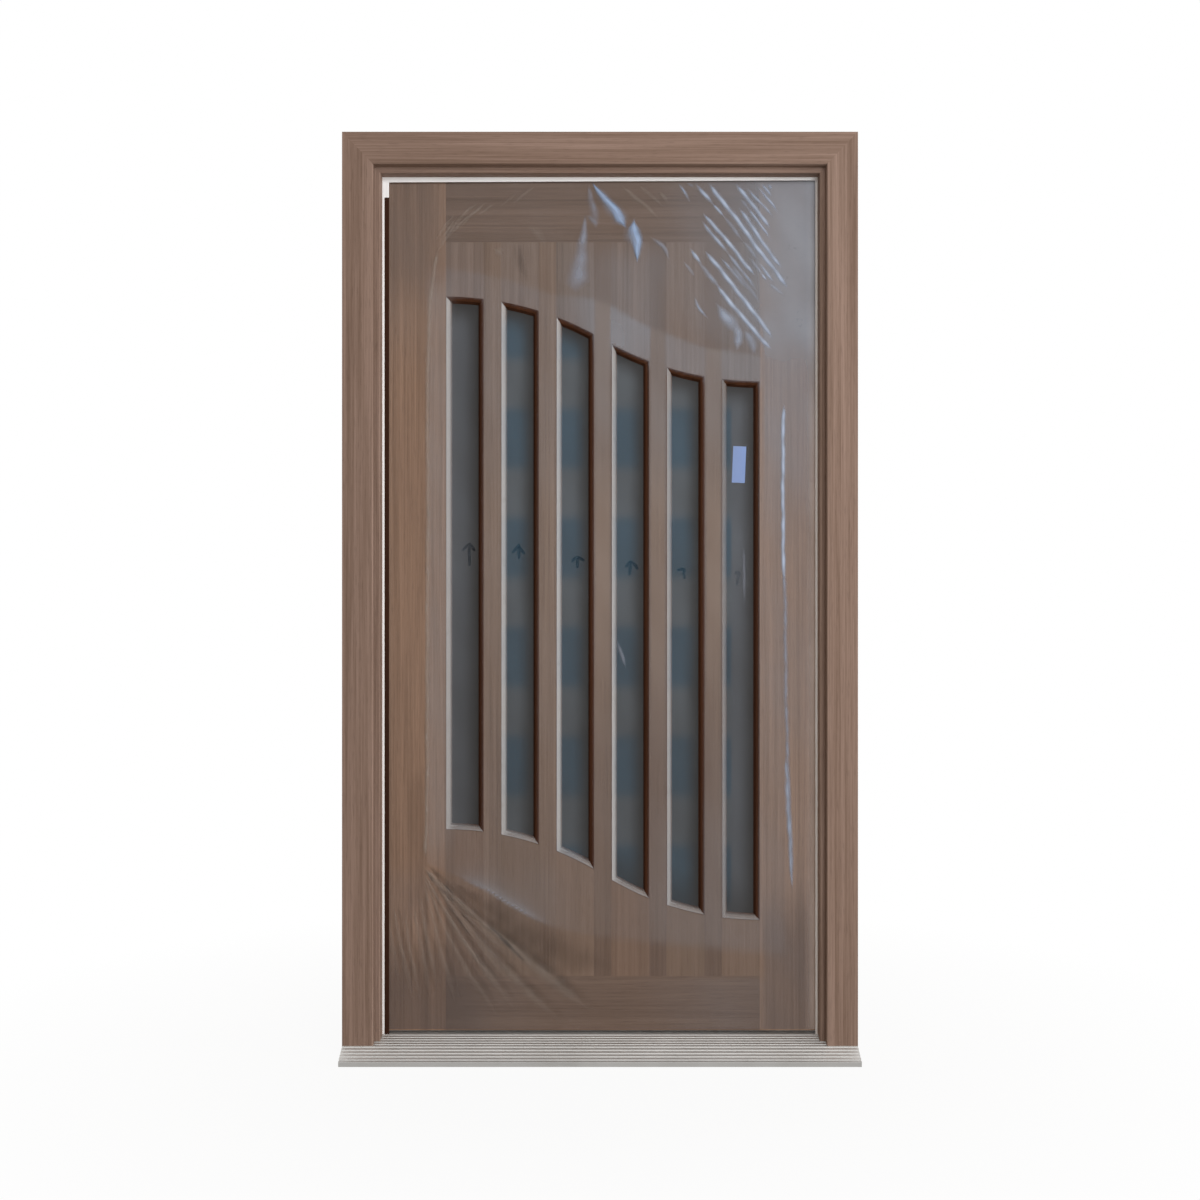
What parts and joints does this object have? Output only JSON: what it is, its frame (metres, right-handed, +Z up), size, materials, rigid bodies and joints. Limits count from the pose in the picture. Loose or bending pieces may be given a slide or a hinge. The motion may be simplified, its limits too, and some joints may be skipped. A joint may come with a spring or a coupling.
{
  "type": "glazed door set",
  "caption": "Wide hardwood entrance door in its frame, with tall narrow lights whose ends follow S-curves, on a ribbed aluminium threshold; the leaf is still in clear film.",
  "frame": {"origin": "under the middle of the sill, in the plane of the frame's outer face", "axes": "+X to the right seen from outside, +Y into the building, +Z up"},
  "size_m": [1.2, 0.18, 2.159],
  "materials": {
    "frame_hardwood": "planed hardwood, unfinished",
    "leaf_hardwood": "planed hardwood, unfinished",
    "bead_hardwood": "planed hardwood, unfinished",
    "sill_hardwood": "sawn hardwood",
    "mill_aluminium": "mill finish, ribbed",
    "white_weather_strip": "white extruded strip",
    "brown_rubber": "dark brown rubber",
    "glass": "clear sealed units",
    "clear_film": "clear wrapping film, creased",
    "hinge_steel": "satin steel"
  },
  "bodies": {
    "frame": {"head": "frame_hardwood", "left_jamb": "frame_hardwood", "right_jamb": "frame_hardwood", "hardwood_sill": "sill_hardwood", "ribbed_threshold": "mill_aluminium", "head_strip": "white_weather_strip", "left_strip": "white_weather_strip", "right_strip": "white_weather_strip", "rubber_blade": "brown_rubber", "hinge_1_frame_flap": "hinge_steel", "hinge_2_frame_flap": "hinge_steel", "hinge_3_frame_flap": "hinge_steel"},
    "leaf": {"bottom_rail": "leaf_hardwood", "closing_stile": "leaf_hardwood", "glass_1": "glass", "glass_2": "glass", "glass_3": "glass", "glass_4": "glass", "glass_5": "glass", "glass_6": "glass", "hanging_stile": "leaf_hardwood", "hinge_1_leaf_flap": "hinge_steel", "hinge_2_leaf_flap": "hinge_steel", "hinge_3_leaf_flap": "hinge_steel", "inner_beads": "bead_hardwood", "lower_panel_1": "leaf_hardwood", "lower_panel_2": "leaf_hardwood", "lower_panel_3": "leaf_hardwood", "lower_panel_4": "leaf_hardwood", "lower_panel_5": "leaf_hardwood", "lower_panel_6": "leaf_hardwood", "mullion_1": "leaf_hardwood", "mullion_2": "leaf_hardwood", "mullion_3": "leaf_hardwood", "mullion_4": "leaf_hardwood", "mullion_5": "leaf_hardwood", "outer_bead_1": "bead_hardwood", "outer_bead_2": "bead_hardwood", "outer_bead_3": "bead_hardwood", "outer_bead_4": "bead_hardwood", "outer_bead_5": "bead_hardwood", "outer_bead_6": "bead_hardwood", "protective_film": "clear_film", "spacer_bars": "mill_aluminium", "top_rail": "leaf_hardwood", "upper_panel_1": "leaf_hardwood", "upper_panel_2": "leaf_hardwood", "upper_panel_3": "leaf_hardwood", "upper_panel_4": "leaf_hardwood", "upper_panel_5": "leaf_hardwood", "upper_panel_6": "leaf_hardwood"}
  },
  "joints": [
    {"name": "leaf_hinge", "type": "hinge", "parent": "frame", "child": "leaf", "pos_m": [0.52975, 0.1215, 1], "axis": [0, 0, -1], "range_deg": [0, 110]}
  ]
}
